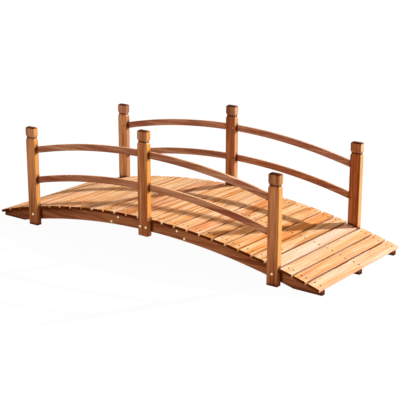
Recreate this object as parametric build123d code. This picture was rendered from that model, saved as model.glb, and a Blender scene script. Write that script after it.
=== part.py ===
"""Moon bridge: a small arched garden bridge of stained fir with a slatted deck and two low railings.

X runs along the walkway, Y across it and Z up, in millimetres.
The origin is the middle of the bridge at ground level. Front is the -Y side.
"""
import os
from math import asin, cos, degrees, sin

from build123d import *

# The arch and the deck. The seat is the curve that the planks lie on: the top edge of the stringers.
bridge_half_length = 897.0    # from the middle to the cut end of a stringer
seat_crown = 150.0            # height of the seat over the ground at the middle
seat_end_height = 19.3        # and at the cut end of a stringer
deck_half_width = 335.0       # half the length of a full plank

# Stringers: three arched bearers under the deck, each in two halves that meet at the middle.
stringer_depth = 54.0
stringer_thickness = 22.0
stringer_inset = 22.0         # from the ends of the planks to the outer face of an outer stringer
stringer_joint_gap = 0.8      # left between the two halves of a stringer

# Splice boards: one arched board behind each joint of a stringer.
splice_half_length = 232.0
splice_thickness = 20.0
splice_inset = 5.0            # how far it stays inside the stringer's top and bottom edges

# Planks: flat boards across the stringers, one of them at the very middle.
planks_each_side = 13         # counted from the middle plank
plank_width = 57.5
plank_thickness = 12.0
plank_edge_radius = 1.5
plank_end_clearance = 0.5     # between the end of a short plank and the post beside it
last_plank_setback = 3.0      # from the cut end of the stringers to the last plank, along the seat

# Posts: three on each side, on the outer faces of the outer stringers.
end_post_setback = 221.0      # from the cut end of the stringers to the middle of an end post
post_width = 52.6
post_depth = 28.5
post_length = 472.0
post_edge_radius = 2.0
middle_post_reach = 17.0      # how far a middle post's foot hangs below the stringer
groove_from_top = 49.0        # from the top of a post to the deepest line of its groove
groove_height = 24.0
groove_cut = 4.0
cap_chamfer = 5.0

# Railings: two arched rails in each bay, let into pockets in the sides of the posts.
rail_drop_at_middle = 91.0    # from the top of a middle post to the top edge of the upper rails
rail_drop_at_end = 97.0       # and from the top of an end post
rail_spacing = 145.0          # from the top edge of an upper rail to that of the lower one
rail_depth = 30.0
rail_thickness = 12.0
rail_edge_radius = 1.5
rail_setback = 13.0           # from the post's -Y face to the rail's, alike on both sides
rail_tenon = 20.0             # how far a rail reaches into a post
rail_pocket_play = 0.3


def arch_radius(half_span, rise):
    """The radius of an arch that rises this much over this half span."""
    return (half_span ** 2 + rise ** 2) / (2 * rise)


# Places that follow from the sizes above.
seat_radius = arch_radius(bridge_half_length, seat_crown - seat_end_height)
seat_centre = seat_crown - seat_radius
seat_half_arc = seat_radius * asin(bridge_half_length / seat_radius)
plank_pitch = (seat_half_arc - last_plank_setback - plank_width / 2) / planks_each_side

stringer_outer_face = deck_half_width - stringer_inset
stringer_inner_face = stringer_outer_face - stringer_thickness

post_pitch = bridge_half_length - end_post_setback
post_centre_y = stringer_outer_face + post_depth / 2
middle_post_foot = seat_crown - stringer_depth - middle_post_reach
bay_start = post_width / 2
bay_end = post_pitch - post_width / 2

upper_rail_crown = middle_post_foot + post_length - rail_drop_at_middle
upper_rail_end = post_length - rail_drop_at_end
rail_radius = arch_radius(post_pitch, upper_rail_crown - upper_rail_end)

SIDES = {"front": -1, "back": 1}
PLACES = {"left": -1, "middle": 0, "right": 1}
RAIL_CROWNS = {"upper": upper_rail_crown, "lower": upper_rail_crown - rail_spacing}


def arched_bar(radius, crown, depth, x_range, y_range, edge_radius=0.0):
    """A bar of even depth, bent round an axis across the bridge and cut square at its ends.

    Its top edge has the radius, would be highest at the crown over X = 0, and runs over x_range.
    """
    y_from, y_to = y_range
    start, end = [asin(x / radius) for x in x_range]
    section = RectangleRounded(y_to - y_from, depth, edge_radius) if edge_radius \
        else Rectangle(y_to - y_from, depth)
    section = Plane.YZ * Pos((y_from + y_to) / 2, crown - depth / 2) * section
    bend_axis = Axis((0, 0, crown - radius), (0, 1, 0))
    return revolve(section.rotate(bend_axis, degrees(start)), bend_axis, degrees(end - start))


def stringer(y_middle):
    """Both halves of one stringer, with the feet cut level with the ground and the ends upright."""
    y_range = (y_middle - stringer_thickness / 2, y_middle + stringer_thickness / 2)
    x_range = (stringer_joint_gap / 2, bridge_half_length + stringer_depth)
    half = arched_bar(seat_radius, seat_crown, stringer_depth, x_range, y_range)
    standing_room = Box(2 * bridge_half_length, 4 * stringer_outer_face, 2 * seat_crown,
                        align=(Align.CENTER, Align.CENTER, Align.MIN))
    half = half & standing_room
    return Compound(children=[half, mirror(half, Plane.YZ)])


def splice_board(y_from):
    """The board that joins the halves of a stringer, flat against its face at y_from."""
    return arched_bar(seat_radius - splice_inset, seat_crown - splice_inset,
                      stringer_depth - 2 * splice_inset,
                      (-splice_half_length, splice_half_length),
                      (y_from, y_from + splice_thickness))


def is_beside_post(x_middle, tilt):
    """Whether a plank at this place, tilted this much, would run into a post if it had its full length."""
    plank_reach = plank_width / 2 * cos(tilt) + plank_thickness * sin(abs(tilt))
    reach = plank_reach + post_width / 2
    return any(abs(x_middle - place * post_pitch) < reach for place in PLACES.values())


def plank(number):
    """A deck board, numbered from the middle one, lying on the seat."""
    tilt = number * plank_pitch / seat_radius
    x_middle = seat_radius * sin(tilt)
    z_under = seat_centre + seat_radius * cos(tilt)
    half_length = deck_half_width
    if is_beside_post(x_middle, tilt):
        half_length = stringer_outer_face - plank_end_clearance
    board = Box(plank_width, 2 * half_length, plank_thickness,
                align=(Align.CENTER, Align.CENTER, Align.MIN))
    long_edges = board.edges().filter_by(Axis.Y)
    board = fillet(long_edges.group_by(Axis.Z)[-1], plank_edge_radius)
    return Pos(x_middle, 0, z_under) * Rot(0, degrees(tilt), 0) * board


def rail_y_range(side):
    """Where a rail lies across the bridge: the same distance behind the -Y face of every post."""
    y_from = side * post_centre_y - post_depth / 2 + rail_setback
    return y_from, y_from + rail_thickness


def rail_x_range(bay, play=0.0):
    """From tenon end to tenon end of a rail in the left (-1) or right (1) bay."""
    near_end = bay_start - rail_tenon - play
    far_end = bay_end + rail_tenon + play
    return tuple(sorted((bay * near_end, bay * far_end)))


def rail(side, bay, crown):
    """An arched rail with the tenons at its ends."""
    return arched_bar(rail_radius, crown, rail_depth, rail_x_range(bay), rail_y_range(side),
                      rail_edge_radius)


def rail_pocket(side, bay, crown):
    """The space that a rail takes up, with play all round, to be cut from the posts."""
    play = rail_pocket_play
    y_from, y_to = rail_y_range(side)
    return arched_bar(rail_radius + play, crown + play, rail_depth + 2 * play,
                      rail_x_range(bay, play), (y_from - play, y_to + play))


def post_section(inset, height):
    """The outline of a post drawn in by an inset on every side, at a height."""
    return Pos(0, 0, height) * RectangleRounded(post_width - 2 * inset, post_depth - 2 * inset,
                                                post_edge_radius)


def post_blank():
    """A post standing on the origin: a plain shaft, a V groove all round and a bevelled cap."""
    groove_middle = post_length - groove_from_top
    groove_bottom = groove_middle - groove_height / 2
    groove_top = groove_middle + groove_height / 2
    bevel_start = post_length - cap_chamfer
    shaft = extrude(post_section(0, 0), groove_bottom)
    neck_below = loft([post_section(0, groove_bottom), post_section(groove_cut, groove_middle)])
    neck_above = loft([post_section(groove_cut, groove_middle), post_section(0, groove_top)])
    cap = extrude(post_section(0, groove_top), bevel_start - groove_top)
    bevel = loft([post_section(0, bevel_start), post_section(cap_chamfer, post_length)])
    return shaft + neck_below + neck_above + cap + bevel


def post(side, place):
    """A post in its place, with a pocket for each rail that ends in it."""
    foot = middle_post_foot if place == 0 else 0.0
    solid = Pos(place * post_pitch, side * post_centre_y, foot) * post_blank()
    bays = (-1, 1) if place == 0 else (place,)
    for bay in bays:
        for crown in RAIL_CROWNS.values():
            solid = solid - rail_pocket(side, bay, crown)
    return solid


def write(name, solid):
    """Save one piece as a file of its own and say what it is."""
    box = solid.bounding_box()
    size = " x ".join(f"{value:.1f}" for value in (box.size.X, box.size.Y, box.size.Z))
    print(f"{name}: {len(solid.solids())} solid(s), {size} mm")
    export_step(solid, f"parts/{name}.step")


os.makedirs("parts", exist_ok=True)

outer_stringer_y = (stringer_outer_face + stringer_inner_face) / 2
write("stringer_front", stringer(-outer_stringer_y))
write("stringer_centre", stringer(0))
write("stringer_back", stringer(outer_stringer_y))

splices = [splice_board(-stringer_inner_face), splice_board(stringer_thickness / 2),
           splice_board(stringer_inner_face - splice_thickness)]
write("splice_boards", Compound(children=splices))

for side_name, side in SIDES.items():
    for place_name, place in PLACES.items():
        write(f"post_{side_name}_{place_name}", post(side, place))
    for bay_name in ("left", "right"):
        for level, crown in RAIL_CROWNS.items():
            write(f"rail_{side_name}_{bay_name}_{level}", rail(side, PLACES[bay_name], crown))

for number in range(-planks_each_side, planks_each_side + 1):
    write(f"plank_{number + planks_each_side + 1:02d}", plank(number))
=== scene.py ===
# %% [markdown]
# # A moon bridge of stained fir
#
# The object is a small garden bridge: three arched stringers, a deck of twenty-seven narrow planks, and on
# each side three posts with two bowed rails in each bay. The wooden pieces come in with their true shapes.
# What is left for this script is what the eye reads first: the grain and stain of every board, the coach
# bolts, the nails in the deck, and a camera and light like those of the photograph.

# %% Load the wooden pieces
import math
import random

import bmesh
import bpy
from mathutils import Matrix, Vector


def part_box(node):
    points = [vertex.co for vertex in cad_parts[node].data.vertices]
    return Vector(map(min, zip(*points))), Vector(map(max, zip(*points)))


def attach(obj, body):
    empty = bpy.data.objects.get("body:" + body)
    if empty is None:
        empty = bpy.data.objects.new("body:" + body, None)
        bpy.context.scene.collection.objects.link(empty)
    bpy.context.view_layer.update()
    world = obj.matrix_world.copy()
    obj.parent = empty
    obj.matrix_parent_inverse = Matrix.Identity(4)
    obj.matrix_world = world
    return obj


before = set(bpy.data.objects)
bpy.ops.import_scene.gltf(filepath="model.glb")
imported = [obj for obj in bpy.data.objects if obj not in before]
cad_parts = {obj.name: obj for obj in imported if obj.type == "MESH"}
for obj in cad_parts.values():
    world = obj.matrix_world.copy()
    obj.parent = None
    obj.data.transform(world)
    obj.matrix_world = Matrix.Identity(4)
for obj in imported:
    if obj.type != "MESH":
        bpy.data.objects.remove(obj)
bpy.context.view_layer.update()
print("pieces of wood:", len(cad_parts))

# %% [markdown]
# ## The camera
#
# A photograph of boxy things gives its own camera away: the posts' upright edges give the tilt, and the rows
# of posts give the direction and the distance. The picture was taken from the front right, a little over
# five metres away, with a long lens, and it looks down by about seventeen degrees. A long lens keeps the
# far posts almost as tall as the near ones.

# %% Place the camera
camera_data = bpy.data.cameras.new("camera")
camera_data.sensor_width = 36.0
camera_data.lens = 101.263
camera_data.shift_y = 0.017579
camera = bpy.data.objects.new("camera", camera_data)
camera.location = (3.01082, -3.93822, 1.63754)
camera.rotation_euler = (math.radians(90 - 16.9293), math.radians(-0.08855), math.radians(36.9015))
bpy.context.scene.collection.objects.link(camera)
bpy.context.scene.camera = camera
print("camera distance in metres:", round(camera.location.length, 2))

# %% [markdown]
# ## Light
#
# The rails throw two soft bands of shadow along the deck. Their places tell where the light stood: low, to
# the right and behind the bridge, so that the right-hand faces glow and the faces towards us lie in shade.
# One strong lamp takes that part. It looks two degrees wide from here, so the edges of its shadows are a
# little soft. A second one is weak and fifty degrees wide, and only adds to the glow from the right. A sun
# lamp with an angle acts like a soft box far away. A warm world, even from all sides, fills the shadows.
# Together they give a level surface about the colour that it has by itself.


# %% Hang the lamps
def soft_box(name, towards, energy, angle):
    """A lamp far away in the direction given. The angle is how wide it looks from here, in degrees."""
    data = bpy.data.lights.new(name, "SUN")
    data.energy = energy
    data.angle = math.radians(angle)
    lamp = bpy.data.objects.new(name, data)
    lamp.rotation_euler = Vector(towards).to_track_quat("Z", "Y").to_euler()
    bpy.context.scene.collection.objects.link(lamp)
    height = math.degrees(math.asin(Vector(towards).normalized().z))
    print(name, "stands", round(height), "degrees over the horizon")


soft_box("key_box", (1.03, 1.92, 1.0), 6.0, 2)
soft_box("side_box", (1.0, 0.15, 0.22), 0.9, 50)

# %% [markdown]
# ## Small helpers for node trees
#
# Wood needs many nodes, and each is made in the same way: add it, set it, fill or link its inputs. One helper
# does that, and a few more name the nodes that come up most.


# %% Helpers for nodes
def add(tree, kind, inputs=None, **settings):
    """A new node with its settings, and with each named input filled with a value or linked to a socket."""
    node = tree.nodes.new("ShaderNode" + kind)
    for key, value in settings.items():
        setattr(node, key, value)
    for key, value in (inputs or {}).items():
        if isinstance(value, bpy.types.NodeSocket):
            tree.links.new(value, node.inputs[key])
        else:
            node.inputs[key].default_value = value
    return node


def maths(tree, operation, *values):
    """A Math node's output."""
    return add(tree, "Math", dict(enumerate(values)), operation=operation).outputs[0]


def vector_maths(tree, operation, *values):
    """A Vector Math node's output, a vector or, for a length or a dot product, a number."""
    node = add(tree, "VectorMath", dict(enumerate(values)), operation=operation)
    return node.outputs["Value" if operation in ("LENGTH", "DOT_PRODUCT") else "Vector"]


def remap(tree, value, low, high, to_low=0.0, to_high=1.0):
    """The value's part of the way from low to high, eased at both ends."""
    inputs = {"Value": value, "From Min": low, "From Max": high, "To Min": to_low, "To Max": to_high}
    return add(tree, "MapRange", inputs, interpolation_type="SMOOTHSTEP").outputs["Result"]


def blend_colours(tree, factor, first, second, blend="MIX"):
    """The first colour with the second mixed or multiplied in by the factor."""
    node = add(tree, "Mix", data_type="RGBA", blend_type=blend)
    for index, value in ((0, factor), (6, first), (7, second)):
        if isinstance(value, bpy.types.NodeSocket):
            tree.links.new(value, node.inputs[index])
        else:
            node.inputs[index].default_value = value
    return node.outputs[2]


def swatch(red, green, blue):
    """A colour read off a swatch, 0 to 255, as the linear values that shaders take."""
    linear = [v / 12.92 if v <= 0.04045 else ((v + 0.055) / 1.055) ** 2.4
              for v in (red / 255, green / 255, blue / 255)]
    return (*linear, 1.0)


print("dark stain in linear values:", [round(v, 3) for v in swatch(190, 118, 70)[:3]])


# %% Helper for shader groups
def shader_group(name, inputs, outputs):
    """An empty group with named sockets. Gives the group, its input node and its output node."""
    group = bpy.data.node_groups.new(name, "ShaderNodeTree")
    for direction, sockets in (("INPUT", inputs), ("OUTPUT", outputs)):
        for label, kind in sockets.items():
            group.interface.new_socket(label, in_out=direction, socket_type="NodeSocket" + kind)
    return group, group.nodes.new("NodeGroupInput"), group.nodes.new("NodeGroupOutput")


# %% [markdown]
# ## What a sawn board shows
#
# A board is a slice of a tree. The tree is a stack of thin cylinders round its pith, pale where it grew in
# spring and dark where it grew in late summer, and the saw cuts straight through them. So the pattern is best
# made in the same way: take the distance of each point from the pith, which lies somewhere outside the board,
# and count it in rings. Lines along the face, arches where the pith is near, and curved rings on the cut ends
# then all belong together. A slow noise bends the tree a little, since none grows quite straight.
#
# The group reads board coordinates: X along the grain, Y across the face and Z through the thickness.

# %% The group and its stretched noise
figure, given, made = shader_group(
    "board_figure",
    {"Vector": "Vector", "Board number": "Float", "Pith across": "Float", "Pith below": "Float",
     "Ring width": "Float", "Wander": "Float", "Knots": "Float"},
    {"Late wood": "Float", "Fibres": "Float", "Stain": "Float", "Knot": "Float", "Height": "Float"})


def long_noise(along, across, detail, roughness=0.5):
    """Noise stretched along the grain: features per metre along the board and across it."""
    stretched = vector_maths(figure, "MULTIPLY", given.outputs["Vector"], (along, across, across))
    return add(figure, "TexNoise", {"Vector": stretched, "W": given.outputs["Board number"], "Scale": 1.0,
                                    "Detail": detail, "Roughness": roughness}, noise_dimensions="4D")


def centred(socket, reach):
    """Noise turned into a vector that swings by the reach to both sides of nothing."""
    swing = vector_maths(figure, "SUBTRACT", socket, (0.5, 0.5, 0.5))
    return add(figure, "VectorMath", {0: swing, "Scale": reach}, operation="SCALE").outputs["Vector"]


print("sockets given to the board figure:", len(given.outputs) - 1)

# %% [markdown]
# A knot is the foot of a branch. A scatter of points gives their places, and only some points carry one. Each
# board's number shifts the scatter, so that no two boards have their knots in the same places.

# %% Knots
knot_cells_per_metre = (4.0, 11.0, 0.0)
knot_radius = 0.0065
cell_step = (7.31, 3.17, 0.0)
cell_shift = vector_maths(figure, "MULTIPLY", cell_step,
                          add(figure, "CombineXYZ", {0: given.outputs["Board number"],
                                                     1: given.outputs["Board number"]}).outputs[0])
cell_place = vector_maths(figure, "MULTIPLY_ADD", given.outputs["Vector"], knot_cells_per_metre, cell_shift)
cells = add(figure, "TexVoronoi", {"Vector": cell_place, "Scale": 1.0}, voronoi_dimensions="2D")
from_knot = vector_maths(figure, "DIVIDE",
                         vector_maths(figure, "SUBTRACT", cell_place, cells.outputs["Position"]),
                         (knot_cells_per_metre[0] * knot_radius, knot_cells_per_metre[1] * knot_radius, 1.0))
from_knot = vector_maths(figure, "MULTIPLY", from_knot, (1.0, 1.0, 0.0))
knot_distance = vector_maths(figure, "LENGTH", from_knot)
cell_lot = add(figure, "SeparateColor", {"Color": cells.outputs["Color"]}).outputs[0]
has_knot = maths(figure, "LESS_THAN", cell_lot, given.outputs["Knots"])
knot = maths(figure, "MULTIPLY", has_knot, remap(figure, knot_distance, 1.0, 0.72))
round_knot = maths(figure, "MULTIPLY", has_knot, remap(figure, knot_distance, 4.5, 0.6))
print("knot radius in millimetres:", knot_radius * 1000)

# %% [markdown]
# The rings flow round a knot, so it pushes the board's coordinates aside before they are measured.

# %% The growth rings
push_aside = 0.0022
wander = centred(long_noise(2.2, 15.0, 2.0).outputs["Color"], given.outputs["Wander"])
push = add(figure, "VectorMath", {0: from_knot, "Scale": maths(figure, "MULTIPLY", round_knot, -push_aside)},
           operation="SCALE").outputs["Vector"]
bent = vector_maths(figure, "ADD", vector_maths(figure, "ADD", given.outputs["Vector"], wander), push)
pith = add(figure, "CombineXYZ", {1: given.outputs["Pith across"],
                                  2: maths(figure, "MULTIPLY", given.outputs["Pith below"], -1.0)})
from_pith = vector_maths(figure, "MULTIPLY",
                         vector_maths(figure, "SUBTRACT", bent, pith.outputs[0]), (0.0, 1.0, 1.0))
rings = maths(figure, "DIVIDE", vector_maths(figure, "LENGTH", from_pith), given.outputs["Ring width"])
uneven = maths(figure, "MULTIPLY", long_noise(0.8, 40.0, 1.0).outputs[0], 1.6)
season = maths(figure, "FRACT", maths(figure, "ADD", rings, uneven))
ring_profile = add(figure, "ValToRGB", {"Fac": season})
stops = ring_profile.color_ramp.elements
stops[0].position, stops[0].color = 0.0, (0.05, 0.05, 0.05, 1)
stops[1].position, stops[1].color = 1.0, (0.05, 0.05, 0.05, 1)
for position, level in ((0.45, 0.16), (0.80, 0.85), (0.90, 1.0)):
    stops.new(position).color = (level, level, level, 1)
late_wood = ring_profile.outputs["Color"]
print("steps of the ring profile:", len(stops))

# %% [markdown]
# Three slower or finer things lie over the rings. Fibres are the fine streaks that the planer and the brush
# leave, at two widths. The stain takes unevenly on softwood, in long clouds that are pale here and rich
# there. The height for the relief adds the hard late wood and the fibres, and sinks a little at the knots.

# %% Fibres, stain and height
fine = long_noise(12.0, 560.0, 2.0).outputs[0]
coarse = long_noise(4.0, 130.0, 3.0, 0.6).outputs[0]
fibres = maths(figure, "ADD", maths(figure, "MULTIPLY", fine, 0.45), maths(figure, "MULTIPLY", coarse, 0.55))

clouds = long_noise(2.6, 44.0, 3.0, 0.6).outputs[0]
stain = remap(figure, clouds, 0.38, 0.62)

height = maths(figure, "ADD", maths(figure, "MULTIPLY", late_wood, 0.45),
               maths(figure, "MULTIPLY", fibres, 0.9))
height = maths(figure, "SUBTRACT", height, maths(figure, "MULTIPLY", knot, 0.3))
for label, socket in (("Late wood", late_wood), ("Fibres", fibres), ("Stain", stain), ("Knot", knot),
                      ("Height", height)):
    figure.links.new(socket, made.inputs[label])
print("nodes in the board figure:", len(figure.nodes))

# %% [markdown]
# ## Masks that the boards share
#
# Four more effects come up on many boards, and each is a group that puts out one mask. The first two only
# ask which way the surface looks. A cut end drinks far more stain than a face, so it is nearly black on the
# planks and dark on the posts, and it is where the surface looks along the grain, one way or the other. The
# dark members get painted sunlight: they are golden on the sides that look at the sun, and red brown on the
# rest. There the sign counts, because the side that looks away stays red.

# %% The cut-end and sunny-side groups
end_turn, sun_turn = (0.45, 0.75), (0.45, 0.80)
cut_end, end_given, end_made = shader_group("cut_end", {"Grain direction": "Vector"}, {"End": "Float"})
facing = add(cut_end, "NewGeometry").outputs["Normal"]
along_grain = vector_maths(cut_end, "DOT_PRODUCT", facing, end_given.outputs["Grain direction"])
cut_end.links.new(remap(cut_end, maths(cut_end, "ABSOLUTE", along_grain), *end_turn), end_made.inputs["End"])

# Mask of the sides that look at the sun, for the painted sunlight.
sunny_side, sun_given, sun_made = shader_group("sunny_side", {"Sun direction": "Vector"}, {"Sunny": "Float"})
facing = add(sunny_side, "NewGeometry").outputs["Normal"]
towards_sun = vector_maths(sunny_side, "DOT_PRODUCT", facing, sun_given.outputs["Sun direction"])
sunny_side.links.new(remap(sunny_side, towards_sun, *sun_turn), sun_made.inputs["Sunny"])
print("groups for ends and sunny sides:", cut_end.name, sunny_side.name)

# %% [markdown]
# The other two look round the point. Every sharp edge is paler, partly from wear and partly as a painted
# highlight, and the Bevel node finds edges: it looks round within a radius and bends the normal there, so
# where its answer leaves the true normal, an edge is near. Noise keeps the paleness from running along the
# whole edge. Corners and places where two pieces meet get painted shade, and the Ambient Occlusion node
# finds such places, because it measures how open the surroundings are within its distance.

# %% The pale-edge and corner-shade groups
edge_bend, wear_and_highlight_patches, closed_in = (0.02, 0.25), (0.38, 0.62), (0.95, 0.68)
# Pale edges: partly wear, partly a painted highlight.
wear_and_highlight_edge, edge_given, edge_made = shader_group(
    "wear_and_highlight_edge", {"Vector": "Vector", "Reach": "Float"}, {"Edge": "Float"})
rounded = add(wear_and_highlight_edge, "Bevel", {"Radius": edge_given.outputs["Reach"]}, samples=4).outputs["Normal"]
flat = add(wear_and_highlight_edge, "NewGeometry").outputs["Normal"]
bend = maths(wear_and_highlight_edge, "SUBTRACT", 1.0, vector_maths(wear_and_highlight_edge, "DOT_PRODUCT", rounded, flat))
patchy = add(wear_and_highlight_edge, "TexNoise", {"Vector": edge_given.outputs["Vector"], "Scale": 38.0, "Detail": 3.0})
worn_lit_edges = maths(wear_and_highlight_edge, "MULTIPLY", remap(wear_and_highlight_edge, bend, *edge_bend),
               remap(wear_and_highlight_edge, patchy.outputs[0], *wear_and_highlight_patches))
wear_and_highlight_edge.links.new(worn_lit_edges, edge_made.inputs["Edge"])

# Painted shade in corners, where the surroundings are closed in.
corner_shading, corner_given, corner_made = shader_group("corner_shading", {"Reach": "Float"}, {"Corner shade": "Float"})
openness = add(corner_shading, "AmbientOcclusion", {"Distance": corner_given.outputs["Reach"]}, samples=8)
corner_shading.links.new(remap(corner_shading, openness.outputs["AO"], *closed_in), corner_made.inputs["Corner shade"])
print("shared groups:", sorted(group.name for group in bpy.data.node_groups))

# %% [markdown]
# ## The wood finish
#
# Each board gets a material of its own, because no two boards come from the same place in a tree. The
# material first lays the board's own axes into the pattern with a Mapping node, turned so that X follows the
# grain. Then it builds the colour in steps: the stain and the wood that the maker and the weather left, with
# painted sunlight and painted shade among them. Each step is a small function that takes the colour so far
# and gives the next one.

# %% Lay the pattern on a board
grain_wander = 0.012


def board_turn(grain, across):
    """The turn of a board's own axes: X along its grain, Y across its face."""
    grain, across = Vector(grain), Vector(across)
    return Matrix((grain, across, grain.cross(across))).transposed().to_euler()


def lay_pattern(tree, centre, grain, across, number, pith, ring_width, knots):
    """A board's own coordinates, and what the pattern gives when it is laid along them."""
    place = add(tree, "TexCoord").outputs["Object"]
    own = add(tree, "Mapping", {"Vector": place, "Location": centre, "Rotation": board_turn(grain, across)},
              vector_type="TEXTURE").outputs["Vector"]
    pattern = add(tree, "Group", {
        "Vector": own, "Board number": number, "Pith across": pith[0], "Pith below": pith[1],
        "Ring width": ring_width, "Wander": grain_wander, "Knots": knots}, node_tree=figure)
    return own, pattern.outputs


print("turn of the pattern on a post, in degrees:",
      [round(math.degrees(angle)) for angle in board_turn((0, 0, 1), (1, 0, 0))])

# %% [markdown]
# The stain of the dark members gets painted sunlight: it is golden where the sun reaches. On the posts that
# is the right-hand face, down to the deck and hardly below it, where the deck's shade is painted, and on all
# of them the side towards the back.

# %% Painted sunlight on the stain
# Painted sunlight: gold on the sides towards the sun, with painted shade on the post feet under the deck.
sun_direction, sun_strength = (0.0, 1.0, 0.0), 0.85
right_face, deck_level, light_under_deck = (0.0232, 0.0260), (-0.162, -0.150), 0.1


def paint_sunlight(tree, colour, spot, sunny, painted_right_light, painted_back_light):
    """The stain with painted sunlight: gold on a post's right-hand face, and on the sides towards the back.
    """
    if painted_right_light:
        on_right = remap(tree, spot["Y"], *right_face)
        above_deck = remap(tree, spot["X"], *deck_level, light_under_deck, 1.0)
        colour = blend_colours(tree, maths(tree, "MULTIPLY", on_right, above_deck), colour, painted_right_light)
    return blend_colours(tree, maths(tree, "MULTIPLY", sunny, sun_strength), colour, painted_back_light)


print("the gold begins within", round((right_face[1] - right_face[0]) * 1000, 1), "mm of the right-hand face")

# %% [markdown]
# The wood shows through the stain. Late wood stays darker than early wood, and loses more blue than red.
# Where the fibres drink more, they show as streaks. Knots are darkest of all.

# %% Rings, streaks and knots
ring_fade = (0.42, 0.62, 0.78)
streaky_fibres, streak_tint = (0.54, 0.38), (0.62, 0.47, 0.36, 1.0)
knot_brown, knot_strength = swatch(105, 52, 24), 0.8


def show_figure(tree, colour, pattern, ring_strength, streak):
    """The colour with its late wood, its streaks and its knots."""
    ring_tint = tuple(1 - ring_strength * fade for fade in ring_fade) + (1.0,)
    colour = blend_colours(tree, pattern["Late wood"], colour, ring_tint, "MULTIPLY")
    streaks = remap(tree, pattern["Fibres"], *streaky_fibres, 0.0, streak)
    colour = blend_colours(tree, streaks, colour, streak_tint, "MULTIPLY")
    return blend_colours(tree, maths(tree, "MULTIPLY", pattern["Knot"], knot_strength), colour, knot_brown)


print("knots in linear values:", [round(v, 3) for v in knot_brown[:3]])

# %% [markdown]
# Sides differ from faces too. The sides of the planks get painted shade deep in the gaps of the deck, but
# not close to the planks' ends. The tops and bottoms of the rails are made paler, a painted highlight for
# the light on their tops. Both kinds of side look across the board, so the cut-end group finds them when it
# is given that direction.

# %% Painted shade and highlight on the sides
# Painted shade deep in the plank gaps, and the colour of the painted highlight on the rails.
gap_depth, gap_shading_by_depth, near_ends = (0.004, -0.001), (0.25, 1.0), (0.318, 0.306)
gap_shading_tint, top_highlight_colour = (0.26, 0.14, 0.08, 1.0), swatch(240, 196, 146)


def shade_sides(tree, colour, spot, across, gap_shading, top_highlight):
    """The colour with painted shade deep in a plank's gaps, or a painted highlight on a rail's top and
    bottom.
    """
    side = add(tree, "Group", {"Grain direction": across}, node_tree=cut_end).outputs["End"]
    if gap_shading:
        depth = remap(tree, spot["Z"], *gap_depth, *gap_shading_by_depth)
        away_from_ends = remap(tree, maths(tree, "ABSOLUTE", spot["X"]), *near_ends, 0.0, gap_shading)
        shaded_gap = maths(tree, "MULTIPLY", side, maths(tree, "MULTIPLY", depth, away_from_ends))
        colour = blend_colours(tree, shaded_gap, colour, gap_shading_tint, "MULTIPLY")
    if top_highlight:
        colour = blend_colours(tree, maths(tree, "MULTIPLY", side, top_highlight), colour, top_highlight_colour)
    return colour


long_plank_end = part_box("plank_13")[1].y
print("grime stops", round((long_plank_end - near_ends[0]) * 1000), "mm from the ends of a long plank")

# %% [markdown]
# Each post has a V groove round its neck, and a dark line of painted shade runs along it. The cap above the
# groove took the stain in its own way on each post, so it has a tint of its own, but not on the side with
# painted sunlight.

# %% The neck and the cap of a post
# Painted shade: the dark line in each post's groove.
groove_edge, groove_floor, groove_shade_strength = 0.0060, 0.0015, 0.9
groove_shade_tint = (0.30, 0.18, 0.12, 1.0)


def mark_neck(tree, colour, spot, sunny, groove, cap_tint):
    """The colour with painted shade in the groove at this height over the post's middle, and the cap in its
    tint.
    """
    above_groove = remap(tree, spot["X"], groove - groove_edge, groove)
    cap = maths(tree, "MULTIPLY", above_groove, maths(tree, "SUBTRACT", 1.0, sunny))
    colour = blend_colours(tree, cap, colour, (*cap_tint, 1.0), "MULTIPLY")
    from_groove = maths(tree, "ABSOLUTE", maths(tree, "SUBTRACT", spot["X"], groove))
    in_groove = remap(tree, from_groove, groove_edge, groove_floor, 0.0, groove_shade_strength)
    return blend_colours(tree, in_groove, colour, groove_shade_tint, "MULTIPLY")


print("the groove's dark line is", round(groove_edge * 2000), "mm wide")

# %% [markdown]
# Last come pale edges, partly wear and partly painted highlight, and painted shade in the corners.

# %% Pale edges and painted corner shade
# Pale edges (wear and painted highlight) and painted shade in corners.
edge_reach, corner_shade_reach = 0.0016, 0.018
worn_lit_wood, corner_shade_tint = swatch(236, 190, 138), (0.30, 0.17, 0.10, 1.0)


def add_edges_and_corner_shade(tree, colour, own, edge_wear_and_highlight, corner_shade_depth):
    """The colour with pale edges, partly worn and partly a painted highlight, and painted shade in corners.
    """
    edge = add(tree, "Group", {"Vector": own, "Reach": edge_reach}, node_tree=wear_and_highlight_edge).outputs["Edge"]
    colour = blend_colours(tree, maths(tree, "MULTIPLY", edge, edge_wear_and_highlight), colour, worn_lit_wood)
    corner_shade = add(tree, "Group", {"Reach": corner_shade_reach}, node_tree=corner_shading).outputs["Corner shade"]
    return blend_colours(tree, maths(tree, "MULTIPLY", corner_shade, corner_shade_depth), colour, corner_shade_tint, "MULTIPLY")


print("wear reaches", edge_reach * 1000, "mm and dirt", corner_shade_reach * 1000, "mm")

# %% [markdown]
# Now a board can be put together. Its gloss follows the fibres, and cut ends are dull. Weathered stain hardly
# shines, so the specular level is low. It is the same all over the board, so it is a plain value and no
# socket. The pattern's height gives a fine relief through a Bump node.

# %% A stained board
glossy_fibres, roughness_range = (0.30, 0.70), (0.72, 0.54)


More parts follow.
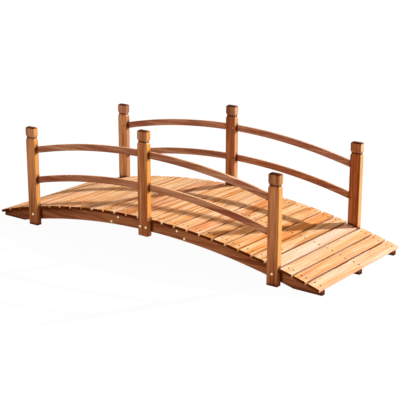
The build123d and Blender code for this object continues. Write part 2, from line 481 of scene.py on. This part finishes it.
def stained_board(name, centre, grain, across, pale, deep, number, pith, ring_width, knots,
                  ring_strength=0.55, streak=0.85, end_tint=(0.22, 0.12, 0.06, 1.0), edge_wear_and_highlight=0.2, sheen=0.06,
                  corner_shade_depth=1.0, gap_shading=0.0, top_highlight=0.0, groove=None, cap_tint=None, painted_right_light=None,
                  painted_back_light=None):
    """A wood material for one board. Pale and deep are its stain where it takes least and most."""
    material = bpy.data.materials.new(name)
    material.use_nodes = True
    tree = material.node_tree
    shader = tree.nodes["Principled BSDF"]
    own, pattern = lay_pattern(tree, centre, grain, across, number, pith, ring_width, knots)
    spot = add(tree, "SeparateXYZ", {"Vector": own}).outputs

    colour = blend_colours(tree, pattern["Stain"], pale, deep)
    # Painted sunlight on the dark members.
    if painted_back_light:
        sunny = add(tree, "Group", {"Sun direction": sun_direction}, node_tree=sunny_side).outputs["Sunny"]
        colour = paint_sunlight(tree, colour, spot, sunny, painted_right_light, painted_back_light)
    colour = show_figure(tree, colour, pattern, ring_strength, streak)
    end = add(tree, "Group", {"Grain direction": grain}, node_tree=cut_end).outputs["End"]
    colour = blend_colours(tree, end, colour, end_tint, "MULTIPLY")
    if gap_shading or top_highlight:
        colour = shade_sides(tree, colour, spot, across, gap_shading, top_highlight)
    # Painted shade in the post's groove.
    if groove is not None:
        colour = mark_neck(tree, colour, spot, sunny, groove, cap_tint)
    # Pale edges, partly a painted highlight, and painted shade in corners.
    tree.links.new(add_edges_and_corner_shade(tree, colour, own, edge_wear_and_highlight, corner_shade_depth), shader.inputs["Base Color"])

    gloss = remap(tree, pattern["Fibres"], *glossy_fibres, *roughness_range)
    tree.links.new(maths(tree, "MAXIMUM", gloss, end), shader.inputs["Roughness"])
    shader.inputs["Specular IOR Level"].default_value = sheen
    relief = add(tree, "Bump", {"Strength": 0.35, "Distance": 0.0006, "Height": pattern["Height"]})
    tree.links.new(relief.outputs["Normal"], shader.inputs["Normal"])
    return material


def finish_node(node, material):
    """The material on a wooden piece, in place of the plain one that it came with."""
    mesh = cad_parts[node].data
    mesh.materials.clear()
    mesh.materials.append(material)


def middle_of(node):
    """The centre of a piece's box."""
    low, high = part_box(node)
    return (low + high) / 2


print("middle of the crown plank in metres:", [round(v, 3) for v in middle_of("plank_14")])

# %% [markdown]
# ### The deck planks
#
# The planks are thin boards from many trees, so their colour wanders most: honey, peach and a warmer orange.
# Seven of them stand out as paler than the rest, most of all the one between the two right-hand posts, so
# they have stains of their own. A seeded draw picks the stain of the others, and for every plank the place
# of its pith and the width of its rings. The same seed gives the same deck every time. The painted shade in
# the gaps varies a little too.

# %% Stains for the planks
plank_count = 27
honey = [Vector(swatch(*c)[:3]) for c in ((250, 219, 177), (250, 215, 176), (250, 211, 159))]
amber = [Vector(swatch(*c)[:3]) for c in ((228, 160, 88), (220, 146, 84), (226, 148, 72))]
pale_planks = {5: (swatch(252, 222, 182), swatch(248, 203, 152)),
               17: (swatch(250, 217, 176), swatch(234, 176, 120)),
               20: (swatch(250, 214, 168), swatch(240, 186, 126)),
               24: (swatch(250, 220, 200), swatch(245, 201, 162)),
               25: (swatch(250, 211, 173), swatch(240, 180, 124)),
               26: (swatch(249, 205, 163), swatch(236, 174, 114)),
               27: (swatch(250, 215, 185), swatch(241, 189, 140))}
# How strong the painted shade in each plank's gaps is; the outermost plank has none.
usual_gap_shading, plank_gap_shading = 0.35, {23: 0.8, 26: 0.8, 27: 0.0}
print("planks with a stain of their own:", sorted(pale_planks))

# %% Finish the planks
draw = random.Random(27)
seat_radius, plank_pitch = 3.1434, 0.06753
plank_end_tint = (0.24, 0.10, 0.03, 1.0)


def plank_tilt(number):
    """How far a plank leans from level, in radians, because it follows the arch."""
    return (number - (plank_count + 1) // 2) * plank_pitch / seat_radius


for number in range(1, plank_count + 1):
    tilt = plank_tilt(number)
    kind = draw.randrange(len(honey))
    shade = draw.uniform(0.88, 1.04)
    pith = (draw.uniform(-0.05, 0.05), draw.uniform(0.02, 0.09))
    ring_width = draw.uniform(0.0026, 0.0046)
    knots = draw.choice((0.0, 0.0, 0.12, 0.2))
    pale, deep = honey[kind] * shade, amber[kind] * shade
    if number in pale_planks:
        pale, deep = [Vector(stain[:3]) for stain in pale_planks[number]]
        knots = 0.0
    node = f"plank_{number:02d}"
    # Each plank gets painted shade in its gaps and in its corners.
    finish_node(node, stained_board(
        f"{node}_stain", middle_of(node), (0, 1, 0), (-math.cos(tilt), 0, math.sin(tilt)),
        (*pale, 1.0), (*deep, 1.0), number * 1.7, pith, ring_width, knots,
        streak=0.6, end_tint=plank_end_tint, edge_wear_and_highlight=0.3, sheen=0.10, corner_shade_depth=0.25,
        gap_shading=plank_gap_shading.get(number, usual_gap_shading)))
print("planks finished:", plank_count)

# %% [markdown]
# ### The dark members
#
# Posts, rails and stringers wear a redder, deeper stain than the deck. Their grain follows their length: up
# the posts, and straight along X in the rails and stringers, because these curved pieces are sawn out of
# straight boards and not bent. So the lines run out at the curved edges, as they should.
#
# No two of them took the stain alike, so most posts and all rails have a tint of their own, as factors for
# red, green and blue. The caps have another one, and so has the painted sunlight on each post's right-hand
# face.

# %% Stains for the dark members
member_stains = {"post": (swatch(250, 188, 137), swatch(188, 115, 73)),
                 "rail": (swatch(248, 198, 165), swatch(195, 132, 107)),
                 "stringer": (swatch(240, 178, 136), swatch(173, 109, 77))}
# Colours of the painted sunlight on the dark members.
painted_back_light = {"post": swatch(196, 134, 80), "rail": swatch(200, 136, 86), "stringer": swatch(178, 114, 68)}
painted_right_light = {"post_front_left": swatch(214, 154, 88), "post_front_middle": swatch(220, 160, 80),
              "post_front_right": swatch(222, 168, 100), "post_back_left": swatch(186, 132, 92),
              "post_back_middle": swatch(206, 156, 110), "post_back_right": swatch(214, 172, 118)}
member_tints = {"post_front_middle": (1.25, 1.30, 1.38), "post_front_right": (0.94, 0.90, 0.90),
                "post_back_left": (1.12, 1.28, 1.5), "post_back_middle": (0.80, 0.82, 0.95),
                "post_back_right": (0.74, 0.61, 0.50),
                "rail_front_left_upper": (1.14, 1.20, 1.28), "rail_front_left_lower": (0.97, 0.92, 0.92),
                "rail_front_right_upper": (1.04, 1.09, 1.17), "rail_front_right_lower": (1.05, 1.04, 1.05),
                "rail_back_left_upper": (1.0, 1.10, 1.32), "rail_back_left_lower": (0.84, 0.99, 1.20),
                "rail_back_right_upper": (0.97, 1.07, 1.30), "rail_back_right_lower": (0.84, 0.77, 0.78)}
cap_tints = {"post_front_left": (0.96, 1.06, 1.35), "post_front_middle": (0.88, 0.86, 1.08),
             "post_front_right": (0.72, 0.72, 0.80), "post_back_left": (0.76, 0.74, 0.94),
             "post_back_middle": (0.98, 1.20, 1.50), "post_back_right": (0.98, 1.18, 1.60)}
print("members with a tint of their own:", len(member_tints))

# %% Finish posts, rails and stringers
plain_tint, back_rail_shade, palest = (1.0, 1.0, 1.0), 0.9, 0.95
groove_height = 0.187
members = sorted(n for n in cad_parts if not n.startswith("plank_"))
for order, node in enumerate(members):
    kind = node.split("_")[0].replace("splice", "stringer")
    upright = kind == "post"
    grain, across = ((0, 0, 1), (1, 0, 0)) if upright else ((1, 0, 0), (0, 0, 1))
    lot = draw.uniform(0.94, 1.04)
    lot *= back_rail_shade if node.startswith("rail_back") else 1.0
    tint = member_tints.get(node, plain_tint)
    pale, deep = [(*(min(part * lot * factor, palest) for part, factor in zip(stain, tint)), 1.0)
                  for stain in member_stains[kind]]
    pith = (draw.uniform(-0.06, 0.06), draw.uniform(0.03, 0.08))
    ring_width = draw.uniform(0.0026, 0.004)
    knots = draw.choice((0.0, 0.1, 0.15))
    # Rails get a painted highlight on their tops and bottoms.
    finish_node(node, stained_board(
        f"{node}_stain", middle_of(node), grain, across, pale, deep, 60 + order * 1.3, pith, ring_width,
        knots, ring_strength=0.38 if upright else 0.5, streak=0.6 if upright else 0.85,
        top_highlight=0.4 if kind == "rail" else 0.0, groove=groove_height if upright else None,
        cap_tint=cap_tints.get(node), painted_right_light=painted_right_light.get(node), painted_back_light=painted_back_light[kind]))
print("dark members finished:", len(members))

# %% [markdown]
# ## Bolts, nuts and washers
#
# Their low domes show on the outer faces: one in the foot of each end post, two in each middle post, and two
# on each side of the middle where the splice boards lie behind. A dome is round about its own axis, so its
# profile is a few points that are spun a full turn. On the inside each bolt ends in a washer and a hexagonal
# nut.

# %% Where the bolts sit
post_face, stringer_face, stringer_back, splice_back = 0.3415, 0.313, 0.291, 0.271
end_post = 0.676
bolt_places = []
for side in (-1, 1):
    for x in (-end_post, end_post):
        bolt_places.append((x, 0.052, side, post_face, stringer_back))
    for x in (-0.016, 0.016):
        bolt_places.append((x, 0.1205, side, post_face, splice_back))
    for direction in (-1, 1):
        for x, z in ((0.207, 0.1006), (0.167, 0.1273)):
            bolt_places.append((direction * x, z, side, stringer_face, splice_back))
print("coach bolts:", len(bolt_places))


# %% Spin the bolt heads
def spun(mesh, profile, origin, axis, steps=24):
    """A round shape: a profile of (radius, height) points turned about an axis through the origin."""
    turn = Vector(axis).to_track_quat("Z", "Y").to_matrix().to_4x4()
    place = Matrix.Translation(origin) @ turn
    verts = [mesh.verts.new(place @ Vector((radius, 0, height))) for radius, height in profile]
    edges = [mesh.edges.new(pair) for pair in zip(verts, verts[1:])]
    bmesh.ops.spin(mesh, geom=verts + edges, cent=origin, axis=axis, angle=math.tau, steps=steps,
                   use_merge=True)


dome = [(0, 0.0036), (0.0022, 0.0034), (0.0042, 0.0026), (0.0056, 0.0014), (0.0062, 0.0003),
        (0.0062, -0.0004), (0, -0.0004)]
heads = bmesh.new()
for x, z, side, outer, inner in bolt_places:
    spun(heads, dome, (x, side * outer, z), (0, side, 0))
print("a bolt head is", round(dome[4][0] * 2000, 1), "mm across")

# %% [markdown]
# The bolts are zinc with a warm yellow passivation: metal, but dulled by weather, with a patchy sheen. The
# same recipe with no metal in it gives a painted or rusted head. Every new piece is closed, with its faces
# turned outwards, and rides on the bridge.


# %% The metal finish
def plated(name, bright, dull, rough_low, rough_high, metallic=1.0, sheen=0.5):
    """Steel with a patchy sheen, a little dirtier where the noise is deep."""
    material = bpy.data.materials.new(name)
    material.use_nodes = True
    tree = material.node_tree
    shader = tree.nodes["Principled BSDF"]
    place = add(tree, "TexCoord").outputs["Object"]
    patches = add(tree, "TexNoise", {"Vector": place, "Scale": 260.0, "Detail": 4.0}).outputs[0]
    tree.links.new(blend_colours(tree, remap(tree, patches, 0.35, 0.68), bright, dull),
                   shader.inputs["Base Color"])
    tree.links.new(remap(tree, patches, 0.3, 0.7, rough_low, rough_high), shader.inputs["Roughness"])
    shader.inputs["Metallic"].default_value = metallic
    shader.inputs["Specular IOR Level"].default_value = sheen
    relief = add(tree, "Bump", {"Strength": 0.25, "Distance": 0.0002, "Height": patches})
    tree.links.new(relief.outputs["Normal"], shader.inputs["Normal"])
    return material


def finish_piece(name, mesh, material, smooth=True):
    """The closed mesh as a piece that stands where it was made and moves with the bridge."""
    bmesh.ops.remove_doubles(mesh, verts=mesh.verts, dist=1e-6)
    bmesh.ops.recalc_face_normals(mesh, faces=mesh.faces)
    for face in mesh.faces:
        face.smooth = smooth
    data = bpy.data.meshes.new(name)
    mesh.to_mesh(data)
    mesh.free()
    data.materials.append(material)
    piece = bpy.data.objects.new(name, data)
    bpy.context.scene.collection.objects.link(piece)
    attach(piece, "root")
    print(name, "faces:", len(data.polygons))


yellow_zinc = plated("yellow_zinc", swatch(252, 234, 186), swatch(218, 186, 122), 0.3, 0.45)
finish_piece("bolt_heads", heads, yellow_zinc)

# %% [markdown]
# A washer is a flat ring, so its profile is a closed loop that is spun like the dome. A nut is a cone with
# six sides and two equal ends, and the bolt's end, a little tapered, comes through it.

# %% Washers and nuts on the inside
washer_thickness = 0.0014
washer = [(0.0032, 0.0), (0.0032, washer_thickness), (0.0078, washer_thickness), (0.0082, 0.0010),
          (0.0082, 0.0)]
nut = {"segments": 6, "radius1": 0.0058, "radius2": 0.0058, "depth": 0.0048}
bolt_end = {"segments": 16, "radius1": 0.003, "radius2": 0.0026, "depth": 0.0076}
washers = bmesh.new()
nuts = bmesh.new()
for x, z, side, outer, inner in bolt_places:
    seat, inwards = Vector((x, side * inner, z)), Vector((0, -side, 0))
    spun(washers, [*washer, washer[0]], seat, inwards)
    turn = inwards.to_track_quat("Z", "Y").to_matrix().to_4x4()
    for shape in (nut, bolt_end):
        middle = seat + inwards * (washer_thickness + shape["depth"] / 2)
        bmesh.ops.create_cone(nuts, cap_ends=True, matrix=Matrix.Translation(middle) @ turn, **shape)
finish_piece("washers", washers, yellow_zinc, smooth=False)
finish_piece("nuts", nuts, yellow_zinc, smooth=False)

# %% [markdown]
# ## Nails and pins
#
# Every plank is nailed down twice on each stringer. From a distance the heads are just pairs of dark dots,
# and it is their slightly careless spacing that makes the deck look built by hand, so a seeded draw moves
# each by a few millimetres. There are more than a hundred and fifty of them, so each is only a dozen-sided
# disc.

# %% Nail the deck
small_steps = 12
plank_thickness, nail_offset, nail_rows = 0.012, 0.013, (-0.298, 0.006, 0.300)
slip_along, slip_across = 0.003, 0.005
seat_crown = 0.150
seat_centre = seat_crown - seat_radius
nail_head = [(0, 0.0003), (0.0036, 0.0003), (0.0042, 0.0), (0, 0.0)]
nails = bmesh.new()
for number in range(1, plank_count + 1):
    tilt = plank_tilt(number)
    outward = Vector((math.sin(tilt), 0, math.cos(tilt)))
    along_deck = Vector((math.cos(tilt), 0, -math.sin(tilt)))
    top = Vector((0, 0, seat_centre)) + outward * (seat_radius + plank_thickness)
    for row in nail_rows:
        for offset in (-nail_offset, nail_offset):
            place = top + along_deck * (offset + draw.uniform(-slip_along, slip_along))
            place.y = row + draw.uniform(-slip_across, slip_across)
            spun(nails, nail_head, place, outward, small_steps)
dark_steel = plated("dark_steel", swatch(46, 28, 20), swatch(24, 15, 10), 0.7, 0.9, metallic=0.0,
                    sheen=0.06)
finish_piece("deck_nails", nails, dark_steel, smooth=False)

# %% [markdown]
# The rails are pinned to the posts with smaller heads on the walkway side. They were stained with the wood,
# so they are as brown as it is, all but one on the middle post at the back, which shines as bare metal.

# %% Pin the rails
pin_head = [(0, 0.0012), (0.0018, 0.0010), (0.0030, 0.0), (0, 0.0)]
pins, bare_pin = bmesh.new(), bmesh.new()
upper_crown, lower_crown = 0.460, 0.315
bare_place = (1, 0.0, 1, upper_crown)
rail_radius, rail_half_depth = 2.7306, 0.015
post_inner_face, pin_offset = 0.313, 0.0155
for side in (-1, 1):
    for post_x in (-end_post, 0.0, end_post):
        for direction in (-1, 1):
            if post_x * direction > 0:
                continue
            for crown in (upper_crown, lower_crown):
                x = post_x + direction * pin_offset
                z = crown - rail_radius + math.sqrt(rail_radius ** 2 - x ** 2) - rail_half_depth
                mesh = bare_pin if (side, post_x, direction, crown) == bare_place else pins
                spun(mesh, pin_head, (x, side * post_inner_face, z), (0, -side, 0), small_steps)
stained_pin = plated("stained_pin", swatch(132, 80, 46), swatch(96, 56, 32), 0.6, 0.8, metallic=0.0,
                     sheen=0.06)
finish_piece("rail_pins", pins, stained_pin)
finish_piece("bare_pin", bare_pin, yellow_zinc)

# %% [markdown]
# ## Floor and backdrop
#
# The photograph shows the bridge cut out on plain white. A pale floor and a white world give the same look.
# What the camera sees of them is set by Light Path, so that they are white without more light on the bridge.
# The floor keeps a little of its own shading there, which leaves the bridge a faint shadow to stand on. It
# lies a hair under the feet, so that the two don't share a plane.

# %% Lay the floor
floor_level, floor_reach = -0.0003, 30.0
floor_mesh = bmesh.new()
bmesh.ops.create_grid(floor_mesh, x_segments=1, y_segments=1, size=floor_reach,
                      matrix=Matrix.Translation((0, 0, floor_level)))
floor_data = bpy.data.meshes.new("floor")
floor_mesh.to_mesh(floor_data)
floor_mesh.free()
floor = bpy.data.objects.new("floor", floor_data)
bpy.context.scene.collection.objects.link(floor)
print("the floor lies", round(-floor_level * 1000, 1), "mm under the feet")


# %% White for the camera
def seen_directly(tree):
    """One for rays from the camera, and for those that metal mirrors or glass lets through."""
    path = add(tree, "LightPath").outputs
    seen = maths(tree, "MAXIMUM", path["Is Camera Ray"], path["Is Glossy Ray"])
    return maths(tree, "MAXIMUM", seen, path["Is Transmission Ray"])


floor_material = bpy.data.materials.new("pale_floor")
floor_material.use_nodes = True
tree = floor_material.node_tree
tree.nodes.remove(tree.nodes["Principled BSDF"])
plain = add(tree, "BsdfDiffuse", {"Color": (0.56, 0.46, 0.37, 1)})
faint = add(tree, "BsdfDiffuse", {"Color": (0.05, 0.05, 0.05, 1)})
white = add(tree, "Emission", {"Color": (1, 1, 1, 1), "Strength": 0.965})
lit_white = add(tree, "AddShader", {0: faint.outputs[0], 1: white.outputs[0]})
mixed = add(tree, "MixShader", {0: seen_directly(tree), 1: plain.outputs[0], 2: lit_white.outputs[0]})
tree.links.new(mixed.outputs[0], tree.nodes["Material Output"].inputs["Surface"])
floor_data.materials.append(floor_material)
print("floor material:", floor_material.name)

# %% [markdown]
# The world does two jobs in the same way. It is white where the camera looks past the floor, and for all
# other rays it is the dim, warm fill that lifts the shadows.

# %% The world
fill_colour, fill_strength = (1.0, 0.70, 0.50, 1), 0.39
world = bpy.data.worlds.new("studio")
world.use_nodes = True
tree = world.node_tree
tree.nodes.clear()
fill = add(tree, "Background", {"Color": fill_colour, "Strength": fill_strength})
backdrop = add(tree, "Background", {"Color": (1, 1, 1, 1), "Strength": 1.0})
mixed = add(tree, "MixShader", {0: seen_directly(tree), 1: fill.outputs[0], 2: backdrop.outputs[0]})
add(tree, "OutputWorld", {"Surface": mixed.outputs[0]})
bpy.context.scene.world = world
bpy.context.scene.view_settings.view_transform = "Standard"
print("floor and world are in place")
